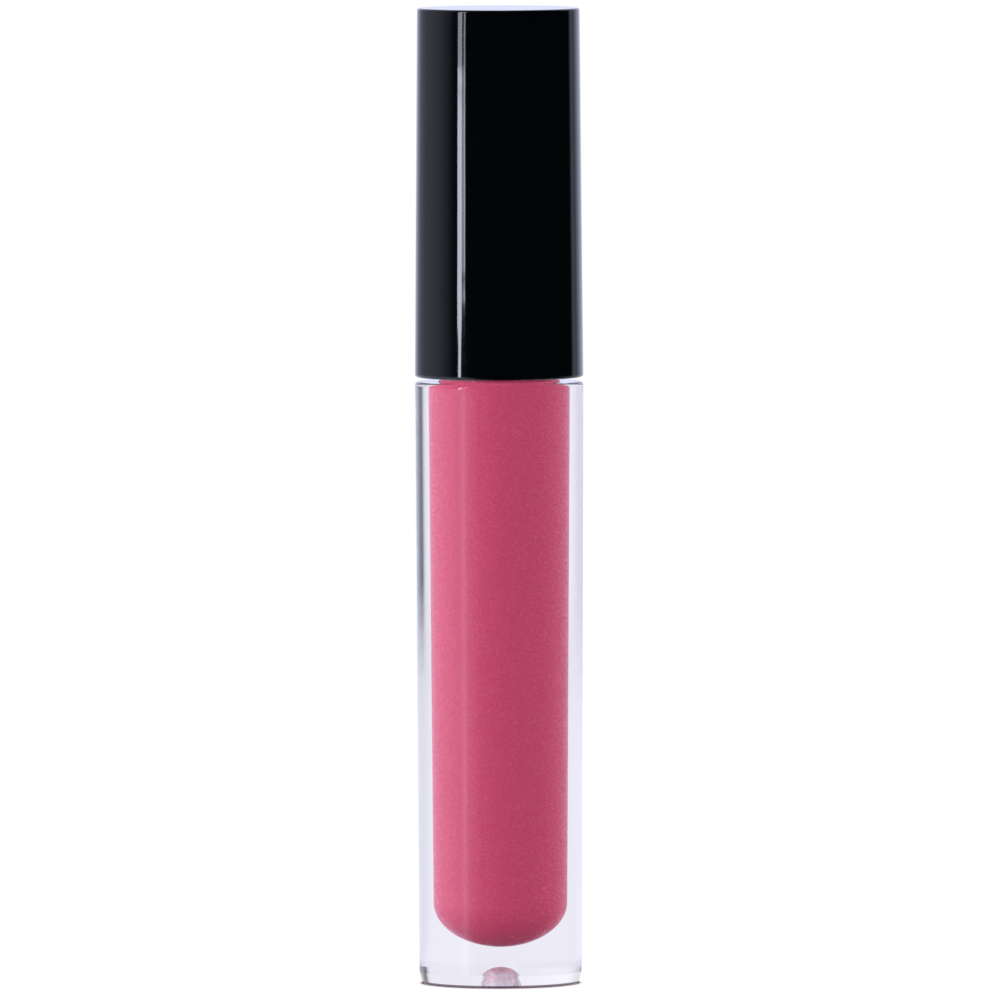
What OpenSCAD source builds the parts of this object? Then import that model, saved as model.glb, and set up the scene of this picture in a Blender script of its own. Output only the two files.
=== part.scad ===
// Lip gloss tube: a thick clear bottle with a screw cap that carries a doe-foot applicator.
// Millimetres, +Z up, origin at the centre of the base. The bottle's axis is Z.

/* [Overall] */
// Outer radius where the cap and the bottle meet
tube_r = 9; // [8.9:0.05:9.2]
// Outer radius of the bottle's base and of the cap's top, which moulding draft makes smaller
end_r = 8.68; // [8.5:0.02:8.8]

/* [Bottle] */
// Height of the bottle from its base to its shoulder
body_h = 64.4; // [60:0.2:70]
// Radius of the inside at the shoulder and in the neck
bore_r = 4.79; // [4.7:0.01:4.85]
// Radius of the inside's round floor, which is half a sphere
bore_floor_r = 4.53; // [4.45:0.01:4.6]
// Height of the inside's lowest point above the base
floor_z = 4.12; // [3.8:0.01:4.4]
// Radius of the rounded outer edge of the base
base_edge_r = 0.3; // [0.15:0.05:0.5]
// Height of the short taper above the base
base_taper_h = 1.3; // [1:0.1:2]
// How far the wall comes in over that taper
base_taper = 0.25; // [0.1:0.05:0.4]
// Radius of the rounded outer edge of the shoulder
shoulder_edge_r = 0.4; // [0.2:0.05:0.5]
// Radius of the moulding dimple under the base
dimple_r = 1.55; // [1:0.05:1.8]
// Depth of the moulding dimple
dimple_h = 1.95; // [1.5:0.05:2.2]

/* [Neck] */
// Height of the neck above the shoulder
neck_h = 11.3; // [11:0.1:12]
// Radius of the neck between its threads
neck_r = 5.7; // [5.65:0.01:5.75]
// Radius of the neck's thread crest
neck_thread_r = 6.4; // [6.3:0.02:6.44]
// Rise of the thread in one turn
thread_pitch = 2.6; // [2.4:0.1:2.8]
// Number of thread turns
thread_turns = 1.5; // [1.2:0.1:1.6]

/* [Wiper] */
// Radius of the wiper's flange, which rests on the neck
wiper_flange_r = 5.6; // [5.4:0.05:5.65]
// Thickness of the wiper's flange
wiper_flange_h = 0.8; // [0.7:0.05:0.9]
// How far the wiper reaches down into the neck
wiper_depth = 9; // [8.6:0.1:9.3]
// Radius of the wiper's orifice
orifice_r = 2.05; // [2.02:0.01:2.1]

/* [Applicator] */
// Radius of the stem
stem_r = 1.9; // [1.85:0.01:1.92]
// Height of the applicator's tip above the base
tip_z = 6.4; // [6.2:0.1:8]
// Length of the flocked tip
tip_l = 14; // [13:0.2:15]
// Outer radius of the flocked tip
flock_r = 1.95; // [1.9:0.01:1.98]
// Thickness of the flock
flock_t = 0.35; // [0.3:0.01:0.4]
// Length of the tip's slanted face along the axis
slant_l = 10.5; // [9.5:0.5:11]
// Angle between the tip's slanted face and the axis
slant_deg = 13; // [12:0.5:14]

/* [Cap] */
// Height of the outer cap
cap_h = 39.4; // [38:0.2:42]
// Gap between the closed cap and the shoulder
cap_gap = 0.5; // [0.4:0.05:0.7]
// Radius of the socket that holds the inner cap
cap_socket_r = 7.9; // [7.86:0.01:8]
// Radius of the hollow above the inner cap
cap_hollow_r = 7.3; // [7:0.05:7.4]
// Thickness of the cap's top
cap_top_t = 1.8; // [1.4:0.1:2.2]
// Radius of the rounded edges of the cap
cap_edge_r = 0.28; // [0.2:0.02:0.36]
// Number of ribs that grip the inner cap in the outer cap
rib_count = 24; // [12:2:30]

/* [Hidden] */
$fn = 96;

eps = 0.01;
// running clearance between a part that turns or slides and what guides it
run_gap = 0.03;
// play between a fitted piece and its seat in the same assembly
fit_gap = 0.02;

// heights of the stacked pieces, all measured from the base
neck_top_z = body_h + neck_h;
wiper_top_z = neck_top_z + wiper_flange_h;
cap_z = body_h + cap_gap;
cap_top_z = cap_z + cap_h;
inner_cap_z = cap_z + 0.3;
ceiling_z = wiper_top_z + 0.3;
inner_cap_top_z = ceiling_z + 1.5;
hub_top_z = inner_cap_top_z + 6;
gloss_top_z = neck_top_z - wiper_depth - 0.3;

// bottle
draft_deg = atan((tube_r - end_r) / body_h);
base_taper_deg = atan(base_taper / (base_taper_h - base_edge_r));
neck_collar_r = neck_thread_r;
neck_collar_h = 0.9;
neck_lip_r = 0.3;

// threads: the neck's crest and the cap's crest pass each other with 0.1 mm to spare
thread_root_w = 1.5;
thread_crest_w = 0.6;
thread_steps = 24;
thread_sink = 0.12;
cap_thread_crest_r = neck_thread_r + 0.1;
cap_thread_root_r = cap_thread_crest_r + 0.6;

// wiper
wiper_sleeve_r = bore_r - 0.2;
wiper_bead_r = bore_r - fit_gap;
wiper_t = 0.6;
wiper_straight_h = 4.2;
wiper_lip_h = 0.9;

// applicator
collar_r = 2.7;
collar_h = 0.8;
hub_r = 3.3;
socket_h = 5.6;
stem_top_z = ceiling_z + socket_h;
foot_top_z = tip_z + tip_l;
plug_r = 1.1;
plug_h = 5;
core_r = flock_r - flock_t;

// inner cap
inner_cap_r = 7.5;
rib_reach_r = cap_socket_r - fit_gap;
rib_r = 0.45;

// cap
cap_ledge_z = inner_cap_top_z + 0.1;

// Points along an arc of radius r about (x, z), from one angle to another
function arc(x, z, r, from, to, steps = 6) = [
    for (i = [0:steps])
        let (a = from + (to - from) * i / steps)
            [x + r * cos(a), z + r * sin(a)]
];

// Points of a quarter ellipse of radius r and height h, from its top down
function dome(r, h, steps = 8) = [for (p = arc(0, 0, 1, 90, 0, steps)) [r * p[0], h * p[1]]];

// Radius of the bottle's drafted wall at a height
function wall_r(z) = end_r + (tube_r - end_r) * z / body_h;

// Radius of the cap's drafted wall at a height
function cap_wall_r(z) = tube_r - (tube_r - end_r) * (z - cap_z) / cap_h;

// A solid of revolution from its outline in radius and height
module turned(outline) {
    rotate_extrude()
        polygon(outline);
}

// A helical ridge whose root is sunk into a wall of radius root_r, tapering to nothing at both ends.
// A crest_r above root_r gives an outer thread, and one below it an inner thread.
module thread_ridge(root_r, crest_r, z, turns) {
    rings = round(turns * thread_steps);
    side = crest_r > root_r ? 1 : -1;
    foot_r = root_r - side * thread_sink;
    points = [
        for (i = [0:rings])
            let (
                a = 360 * i / thread_steps,
                grow = min(1, min(i, rings - i) / 4),
                top_r = root_r + (crest_r - root_r) * grow + side * eps * (1 - grow),
                half_root = thread_root_w / 2 * (0.5 + 0.5 * grow),
                half_crest = thread_crest_w / 2 * (0.5 + 0.5 * grow),
                mid_z = z + thread_pitch * i / thread_steps
            )
                each [
                    for (p = [
                        [foot_r, -half_root],
                        [top_r, -half_crest],
                        [top_r, half_crest],
                        [foot_r, half_root],
                    ])
                        [p[0] * cos(a), p[0] * sin(a), mid_z + p[1]]
                ]
    ];
    // each side runs from one ring to the next; the order of the corners keeps the faces outward
    sides = [
        for (i = [0:rings - 1], k = [0:3])
            let (
                a = 4 * i + k,
                b = 4 * i + (k + 1) % 4,
                c = b + 4,
                d = a + 4
            )
                each (side > 0 ? [[a, b, c], [a, c, d]] : [[c, b, a], [d, c, a]])
    ];
    last = 4 * rings;
    ends = side > 0
        ? [[3, 2, 1, 0], [last, last + 1, last + 2, last + 3]]
        : [[0, 1, 2, 3], [last + 3, last + 2, last + 1, last]];
    polyhedron(points, concat(sides, ends), convexity = 6);
}

// The inside of the bottle up to a height, drawn inset by a gap from its wall
module bottle_inside(top_z, gap = 0) {
    turned([
        each arc(0, floor_z + bore_floor_r, bore_floor_r - gap, -90, 0, 12),
        [bore_r - gap, body_h],
        [bore_r - gap, max(top_z, body_h + eps)],
        [0, max(top_z, body_h + eps)],
    ]);
}

// What the tip's slanted face cuts away on the +Y side, with the face moved inwards by a depth
module slant_cut(depth) {
    reach = 2 * tip_l;
    translate([0, flock_r, tip_z + slant_l])
        rotate([-slant_deg, 0, 0])
            translate([-reach / 2, -depth, -reach])
                cube([reach, reach, 2 * reach]);
}

// Round-ended rod from the tip up to the top of the foot
module foot_rod(r, low_z, high_z) {
    turned([
        each arc(0, low_z + r, r, -90, 0, 8),
        [r, high_z],
        [0, high_z],
    ]);
}

module bottle() {
    base_edge_x = end_r - base_taper - base_edge_r;
    shoulder_edge_x = wall_r(body_h - shoulder_edge_r) - shoulder_edge_r / cos(draft_deg);
    color([0.93, 0.93, 0.97, 0.35])
        difference() {
            union() {
                turned([
                    each dome(dimple_r, dimple_h),
                    each arc(base_edge_x, base_edge_r, base_edge_r, -90, -base_taper_deg),
                    [wall_r(base_taper_h), base_taper_h],
                    each arc(shoulder_edge_x, body_h - shoulder_edge_r, shoulder_edge_r, -draft_deg, 90),
                    [neck_collar_r, body_h],
                    [neck_collar_r, body_h + neck_collar_h - 0.2],
                    [neck_collar_r - 0.2, body_h + neck_collar_h],
                    [neck_r, body_h + neck_collar_h],
                    each arc(neck_r - neck_lip_r, neck_top_z - neck_lip_r, neck_lip_r, 0, 90, 4),
                    [0, neck_top_z],
                ]);
                thread_ridge(neck_r, neck_thread_r, body_h + 3.6, thread_turns);
            }
            bottle_inside(neck_top_z + 1);
        }
}

module gloss() {
    color([0.74, 0.27, 0.4])
        difference() {
            bottle_inside(gloss_top_z, fit_gap);
            foot_rod(flock_r + 2 * run_gap, tip_z - 0.3, gloss_top_z + 1);
        }
}

module wiper() {
    bottom_z = neck_top_z - wiper_depth;
    taper_z = neck_top_z - wiper_straight_h;
    lip_z = bottom_z + wiper_lip_h;
    color([0.95, 0.95, 0.93, 0.85])
        turned([
            [wiper_flange_r, neck_top_z],
            [wiper_flange_r, wiper_top_z - 0.2],
            [wiper_flange_r - 0.2, wiper_top_z],
            [wiper_sleeve_r - wiper_t + 0.25, wiper_top_z],
            [wiper_sleeve_r - wiper_t, wiper_top_z - 0.25],
            [wiper_sleeve_r - wiper_t, taper_z],
            [orifice_r, lip_z],
            [orifice_r, bottom_z],
            [orifice_r + 0.35, bottom_z],
            [orifice_r + 0.5, lip_z],
            [wiper_sleeve_r, taper_z - 0.3],
            [wiper_sleeve_r, taper_z + 0.6],
            [wiper_bead_r, taper_z + 0.9],
            [wiper_bead_r, taper_z + 1.3],
            [wiper_sleeve_r, taper_z + 1.6],
            [wiper_sleeve_r, taper_z + 2.2],
            [wiper_bead_r, taper_z + 2.5],
            [wiper_bead_r, taper_z + 2.9],
            [wiper_sleeve_r, taper_z + 3.2],
            [wiper_sleeve_r, neck_top_z],
        ]);
}

module applicator_stem() {
    collar_z = ceiling_z - collar_h - fit_gap;
    color([0.06, 0.06, 0.07])
        turned([
            [plug_r + run_gap, foot_top_z + run_gap],
            [stem_r - 0.1, foot_top_z + run_gap],
            [stem_r, foot_top_z + 0.15],
            [stem_r, collar_z - 0.5],
            [collar_r, collar_z],
            [collar_r, collar_z + collar_h],
            [stem_r, collar_z + collar_h],
            [stem_r, stem_top_z - 0.4],
            [stem_r - 0.4, stem_top_z],
            [0, stem_top_z],
            [0, foot_top_z + plug_h + 0.3],
            [plug_r + run_gap, foot_top_z + plug_h + 0.3],
        ]);
}

module tip_core() {
    color([0.9, 0.88, 0.86])
        union() {
            difference() {
                foot_rod(core_r, tip_z + flock_t, foot_top_z);
                slant_cut(flock_t);
            }
            turned([
                [0, foot_top_z - eps],
                [plug_r, foot_top_z - eps],
                [plug_r, foot_top_z + plug_h - 0.3],
                [plug_r - 0.3, foot_top_z + plug_h],
                [0, foot_top_z + plug_h],
            ]);
        }
}

module tip_flock() {
    color([0.86, 0.42, 0.53])
        difference() {
            foot_rod(flock_r, tip_z, foot_top_z - 0.4);
            slant_cut(0);
            difference() {
                foot_rod(core_r, tip_z + flock_t, foot_top_z + 1);
                slant_cut(flock_t);
            }
        }
}

module inner_cap() {
    color([0.1, 0.1, 0.11])
        union() {
            turned([
                [cap_thread_root_r, inner_cap_z],
                [inner_cap_r - 0.2, inner_cap_z],
                [inner_cap_r, inner_cap_z + 0.2],
                [inner_cap_r, inner_cap_top_z - 0.4],
                [inner_cap_r - 0.4, inner_cap_top_z],
                [hub_r + 0.5, inner_cap_top_z],
                [hub_r, inner_cap_top_z + 0.5],
                [hub_r - 0.2, hub_top_z],
                [0, hub_top_z],
                [0, stem_top_z + 0.1],
                [stem_r + run_gap, stem_top_z + 0.1],
                [stem_r + run_gap, ceiling_z],
                [cap_thread_root_r - 0.4, ceiling_z],
                [cap_thread_root_r, ceiling_z - 0.4],
            ]);
            thread_ridge(cap_thread_root_r, cap_thread_crest_r, body_h + 2.3, thread_turns);
            for (i = [0:rib_count - 1])
                rotate(360 * i / rib_count)
                    translate([rib_reach_r - rib_r, 0, inner_cap_z + 1.2])
                        cylinder(r = rib_r, h = 9.6, $fn = 24);
        }
}

module outer_cap() {
    top_x = cap_wall_r(cap_top_z) - cap_edge_r;
    bottom_x = tube_r - cap_edge_r;
    hollow_top_z = cap_top_z - cap_top_t;
    color([0.02, 0.02, 0.025])
        turned([
            [cap_socket_r + 0.2, cap_z],
            each arc(bottom_x, cap_z + cap_edge_r, cap_edge_r, -90, 0, 4),
            each arc(top_x, cap_top_z - cap_edge_r, cap_edge_r, 0, 90),
            [0, cap_top_z],
            [0, hollow_top_z],
            [cap_hollow_r - 1, hollow_top_z],
            [cap_hollow_r - 0.3, hollow_top_z - 0.7],
            [cap_hollow_r, cap_ledge_z],
            [cap_socket_r, cap_ledge_z],
            [cap_socket_r, cap_z + 0.2],
        ]);
}

bottle();
gloss();
wiper();
applicator_stem();
tip_core();
tip_flock();
inner_cap();
outer_cap();
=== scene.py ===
"""Looks for the lip gloss tube. Outlines are in millimetres, and meshes are made in metres."""

import math
import random

import bmesh
import bpy
from mathutils import Matrix, Vector


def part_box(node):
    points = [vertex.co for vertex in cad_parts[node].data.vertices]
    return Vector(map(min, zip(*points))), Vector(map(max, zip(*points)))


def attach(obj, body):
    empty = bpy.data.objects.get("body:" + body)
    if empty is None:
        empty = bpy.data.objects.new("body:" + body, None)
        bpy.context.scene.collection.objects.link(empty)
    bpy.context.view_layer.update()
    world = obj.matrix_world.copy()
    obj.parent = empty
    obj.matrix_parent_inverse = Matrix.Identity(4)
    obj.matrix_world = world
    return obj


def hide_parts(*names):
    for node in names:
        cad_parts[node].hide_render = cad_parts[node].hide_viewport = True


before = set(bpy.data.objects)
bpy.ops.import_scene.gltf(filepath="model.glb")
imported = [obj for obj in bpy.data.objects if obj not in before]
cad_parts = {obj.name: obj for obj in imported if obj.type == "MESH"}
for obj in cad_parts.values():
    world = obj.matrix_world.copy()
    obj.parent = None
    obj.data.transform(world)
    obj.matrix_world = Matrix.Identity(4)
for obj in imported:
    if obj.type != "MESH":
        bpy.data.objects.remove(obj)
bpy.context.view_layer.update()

MM = 0.001
# points round each turned piece
SEGMENTS = 256
# a radius under the first counts as none, and radii that differ by less than the second count as equal
ON_AXIS = 1e-6
SAME_R = 0.001


# ---------------------------------------------------------------- sizes, led by the frame's boxes


def extent(node):
    """(outer radius, lowest z, highest z) of a CAD node, in millimetres."""
    low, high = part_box(node)
    return high.x / MM, low.z / MM, high.z / MM


tube_r, base_z, neck_top_z = extent("bottle")
_, cap_z, cap_top_z = extent("outer_cap")
wiper_flange_r, wiper_bottom_z, wiper_top_z = extent("wiper")
_, gloss_floor_z, gloss_top_z = extent("gloss")
stem_collar_r, stem_bottom_z, stem_top_z = extent("applicator_stem")
flock_r, tip_z, flock_top_z = extent("tip_flock")
core_r, _, core_top_z = extent("tip_core")
_, inner_cap_z, hub_top_z = extent("inner_cap")

fit_gap = 0.02
run_gap = 0.03

# bottle
cap_gap = 0.5
shoulder_z = cap_z - cap_gap
end_r = 8.68
base_edge_r = 0.3
base_taper_h = 1.3
base_taper = 0.25
shoulder_edge_r = 0.4
bore_r = 4.79
bore_floor_r = 4.53
floor_z = gloss_floor_z - fit_gap
dimple_r = 1.55
dimple_h = 1.95
dimple_lip = 0.03

# neck and threads
neck_r = 5.7
neck_collar_r = 6.4
neck_collar_h = 0.9
neck_lip_r = 0.3
neck_fillet = 0.15
neck_bevel = 0.2
thread_pitch = 2.6
thread_turns = 1.5
thread_h = 0.7
thread_root_w = 1.5
thread_crest_w = 0.6
# a thread gains its full height over a sixth of a turn
thread_run_outs_per_turn = 6
neck_thread_z = shoulder_z + 3.6
cap_thread_z = shoulder_z + 2.3
cap_thread_root_r = 7.1
cap_thread_h = 0.6

# wiper
wiper_sleeve_r = bore_r - 0.2
wiper_bead_r = bore_r - fit_gap
wiper_t = 0.6
wiper_taper_z = neck_top_z - 4.2
wiper_lip_z = wiper_bottom_z + 0.9
wiper_edge_r = 0.2
wiper_mouth_r = 0.25
bead_heights = (0.6, 2.2)
bead_w = 1.0
bead_slope = 0.3
orifice_r = 2.05

# applicator
stem_r = 1.9
stem_hub_l = 5.6
stem_collar_h = 0.8
collar_z = stem_top_z - stem_hub_l - stem_collar_h - fit_gap
socket_h = 5.3
foot_top_z = stem_bottom_z - run_gap
plug_r = 1.1
flock_t = 0.35
slant_l = 10.5
slant_angle = math.radians(13)

# caps
inner_cap_r = 7.5
hub_h = 6
inner_cap_top_z = hub_top_z - hub_h
ceiling_t = 1.5
ceiling_z = inner_cap_top_z - ceiling_t
hub_r = 3.3
rib_count = 24
rib_r = 0.45
rib_reach_r = 7.88
rib_low_z = inner_cap_z + 1.2
rib_high_z = inner_cap_z + 10.8
cap_socket_r = 7.9
cap_hollow_r = 7.3
cap_top_t = 1.8
cap_edge_r = 0.28
cap_mouth_bevel = 0.25


# ---------------------------------------------------------------- mesh tools


def arc(x, z, r, start, stop, steps=12):
    """Points of a circular arc about (x, z), from one angle to another in degrees."""
    angles = [math.radians(start + (stop - start) * i / steps) for i in range(steps + 1)]
    return [(x + r * math.cos(a), z + r * math.sin(a)) for a in angles]


def held(outline, least=1.2, hold=0.05):
    """The outline with a point added near both ends of each long straight.
    Smooth shading then stays flat along it."""
    points = [outline[0]]
    for p, q in zip(outline, outline[1:]):
        length = math.dist(p, q)
        if length > least:
            for share in (hold / length, 1 - hold / length):
                points.append((p[0] + (q[0] - p[0]) * share, p[1] + (q[1] - p[1]) * share))
        points.append(q)
    return points


def finish_mesh(name, mesh, material, sharp_deg=32):
    """Makes the object of a mesh, shaded smooth except over sharp edges."""
    mesh.polygons.foreach_set("use_smooth", [True] * len(mesh.polygons))
    mesh.set_sharp_from_angle(angle=math.radians(sharp_deg))
    mesh.materials.append(material)
    obj = bpy.data.objects.new(name, mesh)
    bpy.context.scene.collection.objects.link(obj)
    return obj


def revolved_mesh(name, outline, ridge=None):
    """A closed mesh from an outline of (radius, z) that runs up the outside and down the inside.
    An outline that starts off the axis is closed by joining its last point to its first.
    ridge(angle, radius, z) is added to each point's radius."""
    verts, rows = [], []
    for r, z in outline:
        first = len(verts)
        if r < ON_AXIS:
            verts.append((0, 0, z * MM))
            rows.append([first] * SEGMENTS)
            continue
        for k in range(SEGMENTS):
            a = 2 * math.pi * k / SEGMENTS
            reach = (r + (ridge(a, r, z) if ridge else 0)) * MM
            verts.append((reach * math.cos(a), reach * math.sin(a), z * MM))
        rows.append(list(range(first, first + SEGMENTS)))
    pairs = list(zip(rows, rows[1:]))
    if outline[0][0] > ON_AXIS:
        pairs.append((rows[-1], rows[0]))
    faces = []
    for low, high in pairs:
        for k in range(SEGMENTS):
            n = (k + 1) % SEGMENTS
            face = tuple(dict.fromkeys([low[k], low[n], high[n], high[k]]))
            if len(face) > 2:
                faces.append(face)
    mesh = bpy.data.meshes.new(name)
    mesh.from_pydata(verts, [], faces)
    mesh.update()
    return mesh


def revolved(name, outline, material, ridge=None):
    return finish_mesh(name, revolved_mesh(name, held(outline), ridge), material)


def thread(wall_r, z0, height, low_z, high_z):
    """A ridge function for revolved(): the height of a right-hand thread on the wall of radius wall_r."""

    def ridge(angle, r, z):
        if abs(r - wall_r) > SAME_R or not low_z <= z <= high_z:
            return 0.0
        turn = angle / (2 * math.pi)
        offset = (z - z0) / thread_pitch - turn
        nearest = round(offset)
        along = turn + nearest
        if not 0 <= along <= thread_turns:
            return 0.0
        grow = min(1.0, min(along, thread_turns - along) * thread_run_outs_per_turn)
        wide = (1 + grow) / 2
        away = abs(offset - nearest) * thread_pitch
        crest, root = thread_crest_w / 2 * wide, thread_root_w / 2 * wide
        share = min(1.0, max(0.0, (root - away) / (root - crest)))
        return height * grow * share * share * (3 - 2 * share)

    return ridge


def wall_rows(r, low_z, high_z, step=0.07):
    """Points up a straight wall, close enough together to carry a thread."""
    count = round((high_z - low_z) / step)
    return [(r, low_z + (high_z - low_z) * i / count) for i in range(count + 1)]


# ---------------------------------------------------------------- materials


class Nodes:
    """A material's or world's node tree, with short calls to add and join nodes."""

    def __init__(self, owner):
        owner.use_nodes = True
        self.tree = owner.node_tree
        self.tree.nodes.clear()

    def add(self, kind, **values):
        """A node with its properties set by name, and its inputs by name with spaces as underscores."""
        node = self.tree.nodes.new(kind)
        for key, value in values.items():
            if hasattr(node, key):
                setattr(node, key, value)
            else:
                self.put(node.inputs[key.replace("_", " ")], value)
        return node

    def put(self, socket, value):
        """Sets an input to a value, or joins it to another node's output."""
        if isinstance(value, bpy.types.NodeSocket):
            self.tree.links.new(value, socket)
        else:
            socket.default_value = value

    def combine(self, kind, *sources, **values):
        """A node with its first inputs given in order."""
        node = self.add(kind, **values)
        for socket, source in zip(node.inputs, sources):
            self.put(socket, source)
        return node

    def where(self):
        """The place in the object's own space."""
        return self.add("ShaderNodeTexCoord").outputs["Object"]

    def place(self):
        """The same place as X, Y and Z."""
        return self.add("ShaderNodeSeparateXYZ", Vector=self.where()).outputs

    def distance(self):
        """The distance from the object's origin."""
        node = self.combine("ShaderNodeVectorMath", self.where(), operation="LENGTH")
        return node.outputs["Value"]

    def texture(self, kind, scale, **values):
        """A procedural texture in the object's own space. scale is in features per millimetre."""
        return self.add(kind, Vector=self.where(), Scale=scale / MM, **values)

    def ramp(self, factor, *stops):
        """A colour ramp of (position, value or colour) stops."""
        node = self.add("ShaderNodeValToRGB", Fac=factor)
        elements = node.color_ramp.elements
        while len(elements) < len(stops):
            elements.new(0.5)
        for element, (position, colour) in zip(elements, stops):
            element.position = position
            shade = (colour,) * 3 if isinstance(colour, (int, float)) else colour
            element.color = (*shade, 1)
        return node.outputs["Color"]

    def bump(self, height, strength, distance):
        """A normal bent by a height. distance is in millimetres."""
        node = self.add("ShaderNodeBump", Height=height, Strength=strength, Distance=distance * MM)
        return node.outputs["Normal"]

    def mix(self, factor, a, b, blend="MIX"):
        """Two colours mixed. The node has several inputs called A and B, so the colour ones go by number."""
        node = self.add("ShaderNodeMix", data_type="RGBA", blend_type=blend)
        colour_a, colour_b, mixed = node.inputs[6], node.inputs[7], node.outputs[2]
        self.put(node.inputs["Factor"], factor)
        self.put(colour_a, a)
        self.put(colour_b, b)
        return mixed

    def mix_shaders(self, factor, a, b):
        return self.combine("ShaderNodeMixShader", factor, a, b).outputs[0]

    def math(self, operation, a, b=0.0):
        return self.combine("ShaderNodeMath", a, b, operation=operation).outputs[0]

    def vector_math(self, operation, *sources):
        return self.combine("ShaderNodeVectorMath", *sources, operation=operation).outputs[0]

    def span(self, value, start, end):
        """0 at the start, 1 at the end, even between them and held beyond them."""
        return self.add("ShaderNodeMapRange", Value=value, From_Min=start, From_Max=end).outputs[0]

    def by_bearing(self, place, table, brightest=1.0):
        """A ramp round the Z axis from a table of (degrees, brightness), as a share of the brightest."""
        nearness = self.math("MULTIPLY", place["Y"], -1.0)
        bearing = self.math("ARCTAN2", place["X"], nearness)
        turn = self.math("ADD", self.math("DIVIDE", bearing, 2 * math.pi), 0.5)
        return self.ramp(turn, *[(degrees / 360 + 0.5, light / brightest) for degrees, light in table])


def surface(nodes, shader):
    nodes.add("ShaderNodeOutputMaterial", Surface=shader)


def clear_plastic():
    """Polished clear plastic, left matt in the moulding dimple, with a painted dark shade along the base's
    rounded edge.
    Lamps and scattered light pass straight through it, so what is inside is lit evenly."""
    material = bpy.data.materials.new("clear_plastic")
    nodes = Nodes(material)
    clear = (0.905, 0.89, 0.985, 1)
    # a dark colour painted on as shade along the base's rounded edge
    painted_edge_shade = (0.05, 0.03, 0.045, 1)
    margin = 0.01
    place = nodes.place()
    squares = [nodes.math("MULTIPLY", place[axis], place[axis]) for axis in "XY"]
    radius = nodes.math("SQRT", nodes.math("ADD", *squares))
    in_dimple = nodes.math(
        "MULTIPLY",
        nodes.math("LESS_THAN", radius, (dimple_r + margin) * MM),
        nodes.math("LESS_THAN", place["Z"], (dimple_h + margin) * MM),
    )
    # Painted shade: along the rounded edge at the base the plastic's colour is darkened, standing in for the
    # shadow in the gap under it.
    at_edge = nodes.math(
        "MULTIPLY",
        nodes.math("GREATER_THAN", radius, (end_r - base_taper - base_edge_r) * MM),
        nodes.math("LESS_THAN", place["Z"], base_edge_r * MM),
    )
    grain = nodes.texture("ShaderNodeTexNoise", 4.0, Detail=3.0)
    matt = nodes.ramp(grain.outputs["Fac"], (0.3, 0.4), (0.7, 0.6))
    ripple = nodes.texture("ShaderNodeTexNoise", 0.35, Detail=1.0)
    plastic = nodes.add(
        "ShaderNodeBsdfPrincipled",
        Base_Color=nodes.mix(at_edge, clear, painted_edge_shade),
        Roughness=nodes.math("MULTIPLY", in_dimple, matt),
        IOR=1.57,
        Transmission_Weight=1.0,
        Normal=nodes.bump(ripple.outputs["Fac"], strength=0.003, distance=1.0),
    )
    path = nodes.add("ShaderNodeLightPath")
    gap = nodes.add("ShaderNodeBsdfTransparent", Color=(0.96, 0.95, 0.99, 1))
    shader = plastic.outputs[0]
    for kind in ("Is Shadow Ray", "Is Diffuse Ray"):
        shader = nodes.mix_shaders(path.outputs[kind], shader, gap.outputs[0])
    surface(nodes, shader)
    return material


def pink_gloss():
    """Opaque rose gloss, with painted shade that darkens it in the neck. Fine pearl flakes are each tilted
    their own way, so that they glint where a lamp is mirrored; some are also lightened in colour, partly
    their own pearl tone and partly a painted glint."""
    material = bpy.data.materials.new("pink_gloss")
    nodes = Nodes(material)
    deep_rose = (0.47, 0.05, 0.112, 1)
    light_rose = (0.5, 0.059, 0.126, 1)
    # a darker crimson painted on the gloss in the neck as shade
    painted_neck_shade = (0.2, 0.018, 0.04, 1)
    pearl = (0.95, 0.35, 0.4, 1)
    most_tilt = 0.12
    neck_blend = 0.3
    flakes = nodes.texture("ShaderNodeTexVoronoi", 8.0, Randomness=1.0)
    cloud = nodes.texture("ShaderNodeTexNoise", 1.2, Detail=4.0)
    flake_colour = flakes.outputs["Color"]
    tilt = nodes.vector_math("MULTIPLY_ADD", flake_colour, (2 * most_tilt,) * 3, (-most_tilt,) * 3)
    flat = nodes.add("ShaderNodeNewGeometry").outputs["Normal"]
    normal = nodes.vector_math("NORMALIZE", nodes.vector_math("ADD", flat, tilt))
    # Partly the flakes' own pearl tone and partly a painted glint: random flakes are lightened towards pearl
    # whatever the light.
    glint = nodes.ramp(flake_colour, (0.0, 0.0), (0.55, 0.0), (1.0, 0.12))
    body = nodes.mix(cloud.outputs["Fac"], deep_rose, light_rose)
    # Painted shade: the gloss above the shoulder is mixed towards the darker crimson.
    in_neck = nodes.span(
        nodes.place()["Z"], (shoulder_z - neck_blend) * MM, (shoulder_z + neck_blend) * MM
    )
    body = nodes.mix(in_neck, body, painted_neck_shade)
    shader = nodes.add(
        "ShaderNodeBsdfPrincipled",
        Base_Color=nodes.mix(glint, body, pearl),
        Roughness=0.3,
        IOR=1.5,
        Specular_IOR_Level=0.12,
        Subsurface_Weight=0.12,
        Subsurface_Radius=(1.0, 0.25, 0.3),
        Subsurface_Scale=0.5 * MM,
        Sheen_Weight=0.3,
        Sheen_Roughness=0.3,
        Sheen_Tint=(1.0, 0.55, 0.85, 1),
        Normal=normal,
    )
    surface(nodes, shader.outputs[0])
    return material


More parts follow.
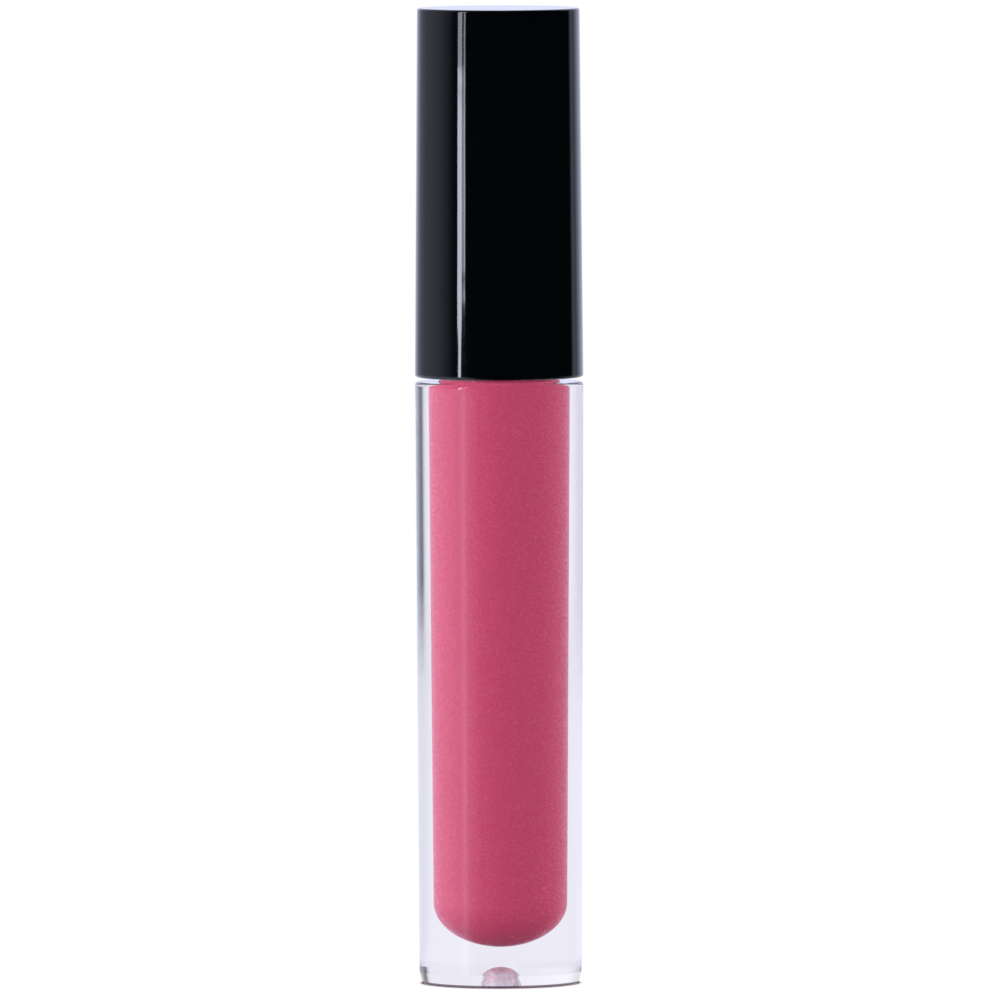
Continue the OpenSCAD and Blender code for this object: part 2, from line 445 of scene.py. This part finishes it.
def black_gloss_plastic():
    """Polished black plastic with the faintest moulding ripple and a little wear in its polish."""
    material = bpy.data.materials.new("black_gloss_plastic")
    nodes = Nodes(material)
    ripple = nodes.texture("ShaderNodeTexNoise", 0.22, Detail=1.0)
    polish = nodes.texture("ShaderNodeTexNoise", 3.0, Detail=5.0, Roughness=0.7)
    shader = nodes.add(
        "ShaderNodeBsdfPrincipled",
        Base_Color=(0.0004, 0.0011, 0.002, 1),
        Roughness=nodes.ramp(polish.outputs["Fac"], (0.35, 0.035), (0.7, 0.06)),
        IOR=1.53,
        Normal=nodes.bump(ripple.outputs["Fac"], strength=0.012, distance=1.0),
    )
    surface(nodes, shader.outputs[0])
    return material


def satin_black_plastic():
    """Black moulded plastic as it leaves the tool, with a fine grain."""
    material = bpy.data.materials.new("inner_cap_plastic")
    nodes = Nodes(material)
    black = (0.016, 0.016, 0.018, 1)
    greyed = (0.026, 0.026, 0.028, 1)
    grain = nodes.texture("ShaderNodeTexNoise", 12.0, Detail=3.0)
    blush = nodes.texture("ShaderNodeTexNoise", 0.6, Detail=2.0)
    shader = nodes.add(
        "ShaderNodeBsdfPrincipled",
        Base_Color=nodes.mix(blush.outputs["Fac"], black, greyed),
        Roughness=nodes.ramp(grain.outputs["Fac"], (0.3, 0.32), (0.7, 0.48)),
        IOR=1.49,
        Normal=nodes.bump(grain.outputs["Fac"], strength=0.12, distance=0.02),
    )
    surface(nodes, shader.outputs[0])
    return material


def wiper_plastic():
    """Natural soft plastic: milky, waxy and a little see-through."""
    material = bpy.data.materials.new("wiper_plastic")
    nodes = Nodes(material)
    milky = (0.86, 0.86, 0.83, 1)
    white = (0.93, 0.93, 0.91, 1)
    wax = nodes.texture("ShaderNodeTexNoise", 2.5, Detail=3.0)
    shader = nodes.add(
        "ShaderNodeBsdfPrincipled",
        Base_Color=nodes.mix(wax.outputs["Fac"], milky, white),
        Roughness=nodes.ramp(wax.outputs["Fac"], (0.3, 0.28), (0.7, 0.42)),
        IOR=1.51,
        Transmission_Weight=0.12,
        Subsurface_Weight=0.6,
        Subsurface_Radius=(1.0, 0.95, 0.9),
        Subsurface_Scale=0.8 * MM,
        Normal=nodes.bump(wax.outputs["Fac"], strength=0.08, distance=0.03),
    )
    surface(nodes, shader.outputs[0])
    return material


def wet_stem():
    """Smooth black plastic with a thin, uneven film of gloss up to where the wiper stops it."""
    material = bpy.data.materials.new("wet_stem_plastic")
    nodes = Nodes(material)
    black = (0.012, 0.012, 0.013, 1)
    wet_rose = (0.3, 0.03, 0.07, 1)
    film_top_z = neck_top_z - 4
    film_full_z = gloss_top_z - 14
    stretched = (1, 1, 0.16)
    below = nodes.span(nodes.place()["Z"], film_top_z * MM, film_full_z * MM)
    streaks = nodes.add("ShaderNodeMapping", Vector=nodes.where(), Scale=stretched)
    film = nodes.add("ShaderNodeTexNoise", Vector=streaks.outputs[0], Scale=1.1 / MM, Detail=4.0)
    thick = nodes.ramp(film.outputs["Fac"], (0.3, 0.55), (0.6, 1.0))
    coat = nodes.math("MULTIPLY", below, thick)
    shader = nodes.add(
        "ShaderNodeBsdfPrincipled",
        Base_Color=nodes.mix(coat, black, wet_rose),
        Roughness=nodes.ramp(film.outputs["Fac"], (0.3, 0.1), (0.7, 0.2)),
        IOR=1.5,
        Normal=nodes.bump(film.outputs["Fac"], strength=0.25, distance=0.08),
    )
    surface(nodes, shader.outputs[0])
    return material


def tip_plastic():
    """White satin plastic of the doe-foot core, stained by the gloss."""
    material = bpy.data.materials.new("tip_plastic")
    nodes = Nodes(material)
    clean = (0.85, 0.78, 0.77, 1)
    stained = (0.72, 0.24, 0.32, 1)
    stain = nodes.texture("ShaderNodeTexNoise", 1.3, Detail=4.0)
    shader = nodes.add(
        "ShaderNodeBsdfPrincipled",
        Base_Color=nodes.mix(stain.outputs["Fac"], clean, stained),
        Roughness=nodes.ramp(stain.outputs["Fac"], (0.3, 0.22), (0.7, 0.4)),
        IOR=1.49,
    )
    surface(nodes, shader.outputs[0])
    return material


def flock():
    """Short nylon fibres soaked with gloss: deep pink, velvety, with wet glints."""
    material = bpy.data.materials.new("flock")
    nodes = Nodes(material)
    soaked = (0.36, 0.035, 0.08, 1)
    velvet = (0.66, 0.12, 0.2, 1)
    clump = nodes.texture("ShaderNodeTexNoise", 2.2, Detail=5.0, Roughness=0.65)
    shader = nodes.add(
        "ShaderNodeBsdfPrincipled",
        Base_Color=nodes.mix(clump.outputs["Fac"], soaked, velvet),
        Roughness=nodes.ramp(clump.outputs["Fac"], (0.35, 0.22), (0.65, 0.55)),
        IOR=1.48,
        Subsurface_Weight=0.2,
        Subsurface_Radius=(1.0, 0.3, 0.35),
        Subsurface_Scale=0.3 * MM,
        Sheen_Weight=0.5,
        Sheen_Roughness=0.4,
        Sheen_Tint=(1.0, 0.7, 0.8, 1),
        Normal=nodes.bump(clump.outputs["Fac"], strength=0.3, distance=0.08),
    )
    surface(nodes, shader.outputs[0])
    return material


def pale_floor():
    """A white studio sheet, just bright enough to meet the background with no line."""
    material = bpy.data.materials.new("pale_floor")
    nodes = Nodes(material)
    grey = (0.2, 0.2, 0.2, 1)
    pale_grey = (0.22, 0.22, 0.22, 1)
    fibre = nodes.texture("ShaderNodeTexNoise", 0.5, Detail=3.0)
    shader = nodes.add(
        "ShaderNodeBsdfPrincipled",
        Base_Color=nodes.mix(fibre.outputs["Fac"], grey, pale_grey),
        Roughness=0.6,
        Specular_IOR_Level=0.0,
        Emission_Color=(1, 1, 1, 1),
        Emission_Strength=0.86,
    )
    surface(nodes, shader.outputs[0])
    return material


def lit_table():
    """What shows of the table through the clear plastic: a glowing sheet with painted light and shade, pale,
    a little greyer in front and on the right, fading out far off."""
    material = bpy.data.materials.new("lit_table")
    nodes = Nodes(material)
    fade_start_r, fade_end_r = 586, 835
    fade = nodes.span(nodes.distance(), fade_start_r * MM, fade_end_r * MM)
    # painted light and shade: the sheet glows by bearing, greyer in front and on the right
    glow = nodes.add("ShaderNodeEmission", Color=nodes.by_bearing(nodes.place(), SEEN_TABLE))
    gap = nodes.add("ShaderNodeBsdfTransparent")
    surface(nodes, nodes.mix_shaders(fade, glow.outputs[0], gap.outputs[0]))
    return material


def contact_floor():
    """The same sheet close round the base, with a painted contact shadow: greyish under the base and dark in
    the gap under the rounded edge, where no light gets in.
    """
    material = bpy.data.materials.new("contact_floor")
    nodes = Nodes(material)
    # Painted contact shadow, as rings of glowing colour round the axis.
    # radius in millimetres, colour
    painted_shadow_rings = [
        (0, (0.86, 0.84, 0.88)),
        (8.2, (0.82, 0.78, 0.84)),
        (8.25, (0.1, 0.07, 0.1)),
        (8.45, (0.2, 0.15, 0.19)),
        (8.6, (0.85, 0.78, 0.82)),
        (9.0, (0.99, 0.96, 0.97)),
        (CONTACT_R, (1.0, 1.0, 1.0)),
    ]
    reach = nodes.math("DIVIDE", nodes.distance(), CONTACT_R * MM)
    shade = nodes.ramp(reach, *[(radius / CONTACT_R, colour) for radius, colour in painted_shadow_rings])
    glow = nodes.add("ShaderNodeEmission", Color=shade, Strength=1.04)
    surface(nodes, glow.outputs[0])
    return material


# ---------------------------------------------------------------- pieces


def wall_r(z):
    """Radius of the bottle's drafted wall at a height."""
    return end_r + (tube_r - end_r) * z / shoulder_z


def inside_outline(gap):
    """The bottle's inside up to the shoulder, moved towards the axis by a gap."""
    round_floor = arc(0, floor_z + bore_floor_r, bore_floor_r - gap, -90, 0, 36)
    return [(0, floor_z + gap), *round_floor[1:], (bore_r - gap, shoulder_z)]


def build_bottle():
    draft = math.degrees(math.atan2(tube_r - end_r, shoulder_z))
    base_x = end_r - base_taper - base_edge_r
    base_taper_deg = math.degrees(math.atan2(base_taper, base_taper_h - base_edge_r))
    shoulder_x = tube_r - shoulder_edge_r
    neck_low, neck_high = shoulder_z + neck_collar_h, neck_top_z - neck_lip_r
    dimple = [(x * dimple_r, z * dimple_h) for x, z in arc(0, 0, 1, 90, 2, 20)]
    outline = [
        *dimple,
        (dimple_r + dimple_lip, base_z),
        *arc(base_x, base_z + base_edge_r, base_edge_r, -90, -base_taper_deg),
        (wall_r(base_taper_h), base_taper_h),
        *arc(shoulder_x, shoulder_z - shoulder_edge_r, shoulder_edge_r, -draft, 90),
        (neck_collar_r + neck_fillet, shoulder_z),
        (neck_collar_r, shoulder_z + neck_fillet),
        (neck_collar_r, neck_low - neck_bevel),
        (neck_collar_r - neck_bevel, neck_low),
        (neck_r + neck_fillet, neck_low),
        *wall_rows(neck_r, neck_low + neck_fillet, neck_high),
        *arc(neck_r - neck_lip_r, neck_high, neck_lip_r, 0, 90),
        (bore_r + neck_bevel, neck_top_z),
        (bore_r, neck_top_z - neck_bevel),
        *reversed(inside_outline(0)),
    ]
    ridge = thread(neck_r, neck_thread_z, thread_h, neck_low, neck_high)
    bottle = revolved("clear_bottle", outline, clear_plastic(), ridge)
    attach(bottle, "bottle")
    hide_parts("bottle")


def build_gloss():
    """The fill reaches a hair into the wall, so that plastic and gloss meet with no air between them."""
    contact = -0.015
    rim, sag = 0.25, 0.12
    channel_r = flock_r + 2 * run_gap
    channel_floor_z = tip_z - 0.3
    outline = [
        *inside_outline(contact),
        (bore_r - contact, gloss_top_z - rim),
        (bore_r - rim, gloss_top_z),
        (channel_r + rim, gloss_top_z - sag),
        (channel_r, gloss_top_z),
        *arc(0, channel_floor_z + channel_r, channel_r, 0, -90, 16)[:-1],
        (0, channel_floor_z),
    ]
    gloss = revolved("gloss_fill", outline, pink_gloss())
    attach(gloss, "bottle")
    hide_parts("gloss")


def build_wiper():
    inner_r = wiper_sleeve_r - wiper_t
    beads = []
    for height in bead_heights:
        low, high = wiper_taper_z + height, wiper_taper_z + height + bead_w
        beads += [
            (wiper_sleeve_r, low),
            (wiper_bead_r, low + bead_slope),
            (wiper_bead_r, high - bead_slope),
            (wiper_sleeve_r, high),
        ]
    outline = [
        (orifice_r, wiper_bottom_z),
        (orifice_r + 0.35, wiper_bottom_z),
        (orifice_r + 0.5, wiper_lip_z),
        (wiper_sleeve_r - 0.05, wiper_taper_z - 0.35),
        (wiper_sleeve_r, wiper_taper_z - 0.2),
        *beads,
        (wiper_sleeve_r, neck_top_z),
        (wiper_flange_r, neck_top_z),
        *arc(wiper_flange_r - wiper_edge_r, wiper_top_z - wiper_edge_r, wiper_edge_r, 0, 90, 6),
        *arc(inner_r + wiper_mouth_r, wiper_top_z - wiper_mouth_r, wiper_mouth_r, 90, 180, 6),
        (inner_r, wiper_taper_z + 0.1),
        (inner_r - 0.06, wiper_taper_z - 0.1),
        (orifice_r + 0.04, wiper_lip_z + 0.1),
        (orifice_r, wiper_lip_z - 0.05),
    ]
    wiper = revolved("neck_wiper", outline, wiper_plastic())
    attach(wiper, "bottle")
    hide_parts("wiper")


def build_stem():
    socket_r = plug_r + run_gap
    socket_top_z = foot_top_z + socket_h
    collar_top_z = collar_z + stem_collar_h
    mouth_r, collar_edge, collar_flare, lead_in = 0.1, 0.05, 0.5, 0.4
    outline = [
        (socket_r, stem_bottom_z),
        *arc(stem_r - mouth_r, stem_bottom_z + mouth_r, mouth_r, -90, 0, 4),
        (stem_r, collar_z - collar_flare),
        (stem_collar_r - collar_edge, collar_z - collar_edge),
        (stem_collar_r, collar_z),
        (stem_collar_r, collar_top_z),
        (stem_r, collar_top_z),
        (stem_r, stem_top_z - lead_in),
        (stem_r - lead_in, stem_top_z),
        (0, stem_top_z),
        (0, socket_top_z),
        (socket_r, socket_top_z),
    ]
    stem = revolved("applicator_rod", outline, wet_stem())
    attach(stem, "stem")
    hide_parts("applicator_stem")


def foot_solid(name, r, low_z, high_z, depth):
    """A round-ended rod with the slanted face cut off its +Y side, as a bmesh."""
    outline = [
        (0, low_z),
        *arc(0, low_z + r, r, -90, 0, 10)[1:],
        (r, high_z),
        (0, high_z),
    ]
    mesh = revolved_mesh(name, outline)
    solid = bmesh.new()
    solid.from_mesh(mesh)
    bpy.data.meshes.remove(mesh)
    normal = Vector((0, math.cos(slant_angle), -math.sin(slant_angle)))
    point = Vector((0, flock_r, tip_z + slant_l)) * MM - normal * depth * MM
    geometry = solid.verts[:] + solid.edges[:] + solid.faces[:]
    cut = bmesh.ops.bisect_plane(
        solid, geom=geometry, plane_co=point, plane_no=normal, clear_outer=True
    )
    rim = [e for e in cut["geom_cut"] if isinstance(e, bmesh.types.BMEdge)]
    bmesh.ops.contextual_create(solid, geom=rim)
    bmesh.ops.recalc_face_normals(solid, faces=solid.faces[:])
    return solid


def build_tip_core():
    overlap, lead_in = 0.01, 0.3
    solid = foot_solid("core", core_r, tip_z + flock_t, foot_top_z, flock_t)
    mesh = bpy.data.meshes.new("doe_foot_core")
    plug = revolved_mesh(
        "plug",
        [
            (0, foot_top_z - overlap),
            (plug_r, foot_top_z - overlap),
            (plug_r, core_top_z - lead_in),
            (plug_r - lead_in, core_top_z),
            (0, core_top_z),
        ],
    )
    solid.from_mesh(plug)
    bpy.data.meshes.remove(plug)
    solid.to_mesh(mesh)
    solid.free()
    core = finish_mesh("doe_foot_core", mesh, tip_plastic())
    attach(core, "cap")
    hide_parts("tip_core")


def remeshed(mesh, voxel, smooth_times):
    """A mesh rebuilt on an even grid and rounded, as a new mesh."""
    obj = bpy.data.objects.new("remesh", mesh)
    bpy.context.scene.collection.objects.link(obj)
    grid = obj.modifiers.new("grid", "REMESH")
    grid.mode = "VOXEL"
    grid.voxel_size = voxel * MM
    soft = obj.modifiers.new("soft", "SMOOTH")
    soft.iterations = smooth_times
    soft.factor = 0.5
    depsgraph = bpy.context.evaluated_depsgraph_get()
    made = bpy.data.meshes.new_from_object(obj.evaluated_get(depsgraph))
    bpy.data.objects.remove(obj)
    return made


def add_fibres(solid, count, length, width, seed=7):
    """Short closed spikes that stand on a bmesh's faces, leaning a little each way."""
    most_lean, most_shift, root_share = 0.45, 0.03, 0.3
    rng = random.Random(seed)
    faces = solid.faces[:]
    areas = [f.calc_area() for f in faces]
    chosen = rng.choices(faces, weights=areas, k=count)
    for face in chosen:
        centre, normal = face.calc_center_median(), face.normal.copy()
        lean = Vector([rng.uniform(-most_lean, most_lean) for _ in range(3)])
        up = (normal + lean).normalized()
        side = up.orthogonal().normalized()
        start = centre + Vector([rng.uniform(-most_shift, most_shift) for _ in range(3)]) * MM
        tall = length * rng.uniform(0.6, 1.0) * MM
        turn = rng.uniform(0, 2 * math.pi)
        corners = []
        for k in range(3):
            spin = Matrix.Rotation(turn + k * 2 * math.pi / 3, 3, up)
            corners.append(solid.verts.new(start - up * tall * root_share + spin @ side * width * MM))
        peak = solid.verts.new(start + up * tall)
        solid.faces.new(reversed(corners))
        for k in range(3):
            solid.faces.new((corners[k], corners[(k + 1) % 3], peak))


def build_flock():
    """The flocked layer: a soft body a little inside the shell, with fibres that reach out of it."""
    inset = 0.2
    shell = foot_solid("flock", flock_r - inset, tip_z + inset, flock_top_z, inset)
    mesh = bpy.data.meshes.new("flock")
    shell.to_mesh(mesh)
    shell.free()
    soft_mesh = remeshed(mesh, voxel=0.07, smooth_times=6)
    velvet = bmesh.new()
    velvet.from_mesh(soft_mesh)
    velvet.faces.ensure_lookup_table()
    add_fibres(velvet, count=9000, length=0.19, width=0.016)
    velvet.to_mesh(soft_mesh)
    velvet.free()
    piece = finish_mesh("flocking", soft_mesh, flock(), sharp_deg=80)
    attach(piece, "cap")
    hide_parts("tip_flock")


def pass_soft_light(piece):
    """Lets soft light past a piece, so that the gloss just under the cap stays as bright as the rest."""
    piece.visible_diffuse = False
    piece.visible_shadow = False


def build_inner_cap():
    edge, mouth_bevel, top_bevel, thread_end = 0.15, 0.12, 0.4, 0.4
    hub_fillet, hub_draft, rib_end = 0.5, 0.2, 0.01
    thread_low, thread_high = inner_cap_z + edge, ceiling_z - thread_end
    stem_socket_r, socket_top_z = stem_r + run_gap, stem_top_z + 0.1
    inward = thread(cap_thread_root_r, cap_thread_z, cap_thread_h, thread_low, thread_high)

    def ridge(angle, r, z):
        """The thread inside and the gripping ribs outside."""
        if abs(r - cap_thread_root_r) < SAME_R:
            return -inward(angle, r, z)
        if abs(r - inner_cap_r) < SAME_R and rib_low_z <= z <= rib_high_z:
            spacing = 2 * math.pi / rib_count
            away = abs((angle + spacing / 2) % spacing - spacing / 2) * r
            rise = max(0.0, 1 - (away / rib_r) ** 2)
            return (rib_reach_r - inner_cap_r) * math.sqrt(rise)
        return 0.0

    outline = [
        (cap_thread_root_r + mouth_bevel, inner_cap_z),
        (inner_cap_r - edge, inner_cap_z),
        (inner_cap_r, inner_cap_z + edge),
        (inner_cap_r, rib_low_z - rib_end),
        (inner_cap_r, rib_low_z + rib_end),
        (inner_cap_r, rib_high_z - rib_end),
        (inner_cap_r, rib_high_z + rib_end),
        (inner_cap_r, inner_cap_top_z - top_bevel),
        (inner_cap_r - top_bevel, inner_cap_top_z),
        (hub_r + hub_fillet, inner_cap_top_z),
        (hub_r, inner_cap_top_z + hub_fillet),
        (hub_r - hub_draft, hub_top_z),
        (0, hub_top_z),
        (0, socket_top_z),
        (stem_socket_r, socket_top_z),
        (stem_socket_r, ceiling_z),
        (cap_thread_root_r - thread_end, ceiling_z),
        *reversed(wall_rows(cap_thread_root_r, inner_cap_z + mouth_bevel, thread_high)),
    ]
    inner = revolved("threaded_insert", outline, satin_black_plastic(), ridge)
    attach(inner, "cap")
    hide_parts("inner_cap")
    pass_soft_light(inner)


def build_outer_cap():
    draft = math.degrees(math.atan2(tube_r - end_r, cap_top_z - cap_z))
    top_x = end_r - cap_edge_r
    bottom_x = tube_r - cap_edge_r
    hollow_top_z = cap_top_z - cap_top_t
    ledge_z = inner_cap_top_z + 0.1
    corner_w, corner_h, hollow_draft = 0.7, 0.7, 0.3
    outline = [
        (cap_socket_r + cap_mouth_bevel, cap_z),
        *arc(bottom_x, cap_z + cap_edge_r, cap_edge_r, -90, draft, 8),
        *arc(top_x, cap_top_z - cap_edge_r, cap_edge_r, draft, 90),
        (0, cap_top_z),
        (0, hollow_top_z),
        (cap_hollow_r - hollow_draft - corner_w, hollow_top_z),
        (cap_hollow_r - hollow_draft, hollow_top_z - corner_h),
        (cap_hollow_r, ledge_z),
        (cap_socket_r, ledge_z),
        (cap_socket_r, cap_z + cap_mouth_bevel),
    ]
    cap = revolved("glossy_cap", outline, black_gloss_plastic())
    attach(cap, "cap")
    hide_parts("outer_cap")
    pass_soft_light(cap)


# ---------------------------------------------------------------- studio

CONTACT_R = 14.0
BOUNCES = 32


def build_floor():
    """A white sheet for the camera, the table that shows through the plastic, and a small round under the
    tube that mirrors see too."""
    # name, radius and drop below the base in millimetres, material
    sheets = [
        ("studio_floor", 500, 0.03, pale_floor()),
        ("seen_table", 900, 0.02, lit_table()),
        ("contact_patch", CONTACT_R, 0.01, contact_floor()),
    ]
    for name, radius, drop, material in sheets:
        bpy.ops.mesh.primitive_circle_add(vertices=96, radius=radius * MM, fill_type="NGON")
        floor = bpy.context.object
        floor.name = name
        floor.location.z = (base_z - drop) * MM
        floor.data.materials.append(material)
        floor.visible_camera = name != "seen_table"
        floor.visible_transmission = name != "studio_floor"
        floor.visible_glossy = name == "contact_patch"
        floor.visible_diffuse = False


def build_camera():
    """A long lens a little above the tube, far enough off that its sides stay almost parallel."""
    distance = 2.2
    # millimetres across the whole picture, at the tube
    seen_width = 106.8376
    aim = Vector((0.36, 0, 51.7)) * MM
    elevation = math.radians(3.23)
    lean = math.radians(0.14)
    data = bpy.data.cameras.new("camera")
    data.sensor_width = 36
    data.lens = data.sensor_width * distance / (seen_width * MM)
    data.clip_end = 40
    camera = bpy.data.objects.new("camera", data)
    bpy.context.scene.collection.objects.link(camera)
    back = Vector((0, -math.cos(elevation), math.sin(elevation)))
    camera.location = aim + back * distance
    camera.rotation_euler = (math.pi / 2 - elevation, lean, 0)
    bpy.context.scene.camera = camera


def build_strips():
    """A tall soft box on the left, made of upright strips. Neither the camera nor scattered light sees it."""
    distance = 0.6
    cool_white = (0.95, 0.97, 1.15)
    # name, bearing, spread, lowest and highest point in metres, radiance
    strips = [
        ("low_key_strip", -55.6, 3.8, 0.035, 0.05, 11.0),
        ("key_strip", -55.8, 6.6, 0.05, 0.084, 11.0),
        ("key_gap", -51.0, 3.0, 0.056, 0.084, 4.0),
        ("key_edge", -48.5, 2.0, 0.056, 0.084, 7.5),
        ("upper_key_strip", -55.4, 6.6, 0.084, 0.5, 5.0),
        ("upper_key_edge", -48.5, 2.4, 0.084, 0.5, 4.5),
    ]
    for name, bearing, spread, low_z, high_z, radiance in strips:
        a = math.radians(bearing)
        data = bpy.data.lights.new(name, "AREA")
        data.shape = "RECTANGLE"
        data.color = cool_white
        data.size = distance * math.radians(spread)
        data.size_y = high_z - low_z
        data.energy = radiance * math.pi * data.size * data.size_y
        strip = bpy.data.objects.new(name, data)
        bpy.context.scene.collection.objects.link(strip)
        strip.location = (distance * math.sin(a), -distance * math.cos(a), (low_z + high_z) / 2)
        strip.rotation_euler = (math.pi / 2, 0, a)
        strip.visible_camera = False
        strip.visible_diffuse = False


# Brightness of the studio by bearing, in degrees from the camera's side, positive to the right.
# What reflections see when they look level or upwards: white behind, a soft panel on the left, dark in front.
UPPER_ROOM = [
    (-180, 1.05), (-162, 0.97), (-150, 0.75), (-143, 0.5), (-123, 0.43), (-112, 0.52), (-98, 0.52),
    (-90, 0.47), (-77, 0.28), (-68, 0.07), (-61, 0.01), (0, 0.003), (118, 0.003), (124, 0.5), (128, 0.5),
    (132, 0.3), (139, 0.62), (148, 0.95), (160, 1.05), (180, 1.05),
]
# What they see when they look down: the same room with the lit table on its left.
LOWER_ROOM = [
    (-180, 1.0), (-75, 1.0), (-62, 0.85), (-59, 0.8), (-54, 1.2), (-51, 1.5), (-48, 1.1), (-45, 0.6),
    (-38, 0.25), (-28, 0.03), (0, 0.005), (85, 0.05), (118, 0.3), (128, 0.6), (139, 0.8), (150, 1.0),
    (180, 1.0),
]
# What shows through the clear plastic: white, with one dark screen on the right.
SEEN_THROUGH = [
    (-180, 0.96), (-142, 1.08), (-127, 1.08), (-119, 0.96), (-112, 0.88), (-100, 0.84), (-80, 0.4),
    (-60, 0.2), (90, 0.2), (104, 0.12), (110, 0.05), (113, 0.0), (117, 0.0), (119.5, 0.3), (122, 0.75),
    (127, 0.96), (180, 0.96),
]
# What shows of the table through it, with its light and shade painted in by bearing.
SEEN_TABLE = [
    (-180, 0.98), (-150, 1.0), (-100, 1.0), (-60, 0.8), (60, 0.75), (116, 0.78), (124, 0.84), (135, 0.94),
    (180, 0.98),
]
# The soft light that falls on the tube.
SOFT_LIGHT = [
    (-180, 2.9), (-140, 3.6), (-70, 3.9), (-20, 2.1), (30, 1.15), (80, 2.1), (130, 3.4), (180, 2.9),
]


def build_world():
    """The studio round the tube. The camera itself sees only white."""
    world = bpy.data.worlds.new("studio")
    bpy.context.scene.world = world
    nodes = Nodes(world)
    brightest = 5.0
    white = (1 / brightest,) * 3 + (1,)
    cool_tint = (0.86, 0.9, 1.14, 1)
    dark_ceiling = (0.02, 0.012, 0.02, 1)
    dim_ceiling = (0.16, 0.16, 0.16, 1)
    dim_table = (0.1, 0.09, 0.1, 1)
    way = nodes.add("ShaderNodeTexCoord").outputs["Generated"]
    split = nodes.add("ShaderNodeSeparateXYZ", Vector=way).outputs

    def room(table):
        return nodes.by_bearing(split, table, brightest)

    def above(elevation, blur):
        """0 well under an elevation and 1 well over it, in degrees."""
        low, high = (math.sin(math.radians(elevation + side * blur)) for side in (-1, 1))
        return nodes.span(split["Z"], low, high)

    both_rooms = nodes.mix(above(-2.8, 0.2), room(LOWER_ROOM), room(UPPER_ROOM))
    reflected = nodes.mix(1.0, both_rooms, cool_tint, "MULTIPLY")
    through = nodes.mix(above(26, 5), room(SEEN_THROUGH), dark_ceiling)
    soft = nodes.mix(above(-5, 3), dim_table, room(SOFT_LIGHT))
    soft = nodes.mix(above(34, 8), soft, dim_ceiling)
    path = nodes.add("ShaderNodeLightPath")
    shade = nodes.mix(path.outputs["Is Glossy Ray"], soft, reflected)
    shade = nodes.mix(path.outputs["Is Transmission Ray"], shade, through)
    shade = nodes.mix(path.outputs["Is Camera Ray"], shade, white)
    glow = nodes.add("ShaderNodeBackground", Color=shade, Strength=brightest)
    nodes.add("ShaderNodeOutputWorld", Surface=glow.outputs[0])


for kind in ("max", "transmission", "glossy", "transparent_max"):
    setattr(bpy.context.scene.cycles, f"{kind}_bounces", BOUNCES)

build_camera()
build_floor()
build_world()
build_strips()

build_bottle()
build_gloss()
build_wiper()
build_stem()
build_tip_core()
build_flock()
build_inner_cap()
build_outer_cap()

bpy.context.scene.view_settings.view_transform = "Standard"
